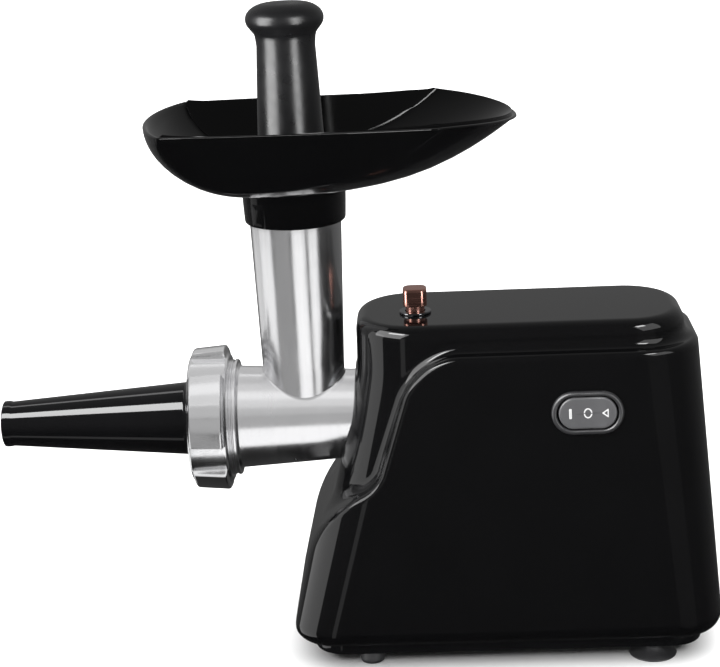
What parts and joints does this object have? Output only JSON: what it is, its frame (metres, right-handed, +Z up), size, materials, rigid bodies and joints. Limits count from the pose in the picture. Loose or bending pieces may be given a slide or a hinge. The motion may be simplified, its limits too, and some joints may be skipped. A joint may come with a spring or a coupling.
{
  "type": "electric meat grinder",
  "caption": "Electric meat grinder: glossy motor housing, cast aluminium grinding head with feed neck, ring nut, sausage stuffing tube, hopper pan and food pusher.",
  "frame": {"origin": "on the table, under the middle of the whole machine's outline", "axes": "+X runs along the barrel towards the motor end, +Y points away from the switch side, +Z is up"},
  "size_m": [0.4018, 0.136, 0.361],
  "materials": {
    "black_plastic": "high gloss moulded black plastic",
    "grey_plastic": "satin charcoal plastic",
    "cast_aluminium": "polished cast aluminium with faint brushing",
    "steel": "turned steel",
    "dark_chrome": "dark polished metal",
    "copper_metal": "rose copper coated metal",
    "switch_plastic": "satin dark grey plastic",
    "rubber": "black rubber",
    "zinc": "zinc die casting, as cast",
    "nylon": "natural nylon",
    "bronze": "sintered bronze",
    "brass": "drawn brass",
    "copper_wire": "enamelled copper",
    "lamination": "stacked steel sheet",
    "carbon": "pressed carbon"
  },
  "bodies": {
    "base": {"housing_shell": "black_plastic", "bottom_cover": "black_plastic", "cover_screws": "steel", "front_feet": "rubber", "suction_feet": "rubber", "cord_inlet_bush": "rubber", "switch_bezel": "switch_plastic", "switch_body": "switch_plastic", "switch_terminals": "steel", "button_collar": "dark_chrome", "lock_spring": "steel", "head_socket": "zinc", "socket_screws": "steel", "gear_case": "zinc", "gear_case_cover": "zinc", "case_screws": "steel", "output_bushes": "bronze", "idler_pin": "steel", "motor_bearings": "steel", "stator_core": "lamination", "field_coils": "copper_wire", "front_bracket": "zinc", "rear_bracket": "zinc", "brush_holders": "brass", "carbon_brushes": "carbon", "brush_springs": "steel", "motor_bolts": "steel", "motor_mounts": "rubber"},
    "rocker": {"switch_rocker": "switch_plastic"},
    "release": {"release_button": "copper_metal", "lock_stem": "steel", "lock_yoke": "steel"},
    "head": {"grinder_head": "cast_aluminium", "head_bush": "nylon"},
    "output": {"output_wheel": "nylon", "output_shaft": "steel", "auger_screw": "cast_aluminium", "auger_drive_shaft": "steel", "auger_front_pin": "steel", "auger_washer": "nylon"},
    "idler": {"idler_wheel": "nylon", "idler_pinion": "steel"},
    "rotor": {"motor_pinion": "steel", "motor_shaft": "steel", "armature_core": "lamination", "armature_winding": "copper_wire", "commutator": "copper_wire", "cooling_fan": "nylon"},
    "nozzle": {"stuffing_tube": "black_plastic", "separator_plate": "black_plastic"},
    "ring": {"ring_nut": "cast_aluminium"},
    "pan": {"hopper_pan": "black_plastic"},
    "pusher": {"food_pusher": "grey_plastic"}
  },
  "joints": [
    {"name": "head_twist", "type": "hinge", "parent": "base", "child": "head", "pos_m": [0.0214, 0, 0.129], "axis": [-1, 0, 0], "range_deg": [0, 45]},
    {"name": "rotor_spin", "type": "hinge", "parent": "base", "child": "rotor", "pos_m": [0.1114, 0, 0.0606], "axis": [1, 0, 0], "continuous": true},
    {"name": "idler_spin", "type": "hinge", "parent": "base", "child": "idler", "pos_m": [0.0614, -0.018, 0.08645], "axis": [1, 0, 0], "continuous": true},
    {"name": "output_spin", "type": "hinge", "parent": "base", "child": "output", "pos_m": [0.0614, 0, 0.129], "axis": [1, 0, 0], "continuous": true},
    {"name": "nozzle_out", "type": "slide", "parent": "head", "child": "nozzle", "axis": [-1, 0, 0], "range_m": [0, 0.0046]},
    {"name": "ring_turn", "type": "hinge", "parent": "nozzle", "child": "ring", "pos_m": [-0.0786, 0, 0.129], "axis": [-1, 0, 0], "range_deg": [0, 540]},
    {"name": "pan_lift", "type": "slide", "parent": "head", "child": "pan", "axis": [0, 0, 1], "range_m": [0, 0.025]},
    {"name": "pusher_lift", "type": "slide", "parent": "head", "child": "pusher", "axis": [0, 0, 1], "range_m": [0, 0.1]},
    {"name": "release_press", "type": "slide", "parent": "base", "child": "release", "axis": [0, 0, -1], "range_m": [0, 0.003], "stiffness_N_per_m": 900, "springref_m": -0.002, "deforming": ["lock_spring"]},
    {"name": "rocker_tilt", "type": "hinge", "parent": "base", "child": "rocker", "pos_m": [0.1259, -0.05459, 0.1435], "axis": [0, 0.1134, 0.9936], "range_deg": [-8, 8]}
  ],
  "couplings": [
    {"joint": "idler_spin", "follows": "rotor_spin", "ratio": -0.125},
    {"joint": "output_spin", "follows": "rotor_spin", "ratio": 0.020833},
    {"joint": "nozzle_out", "follows": "ring_turn", "m_per_rad": 0.00047746}
  ]
}
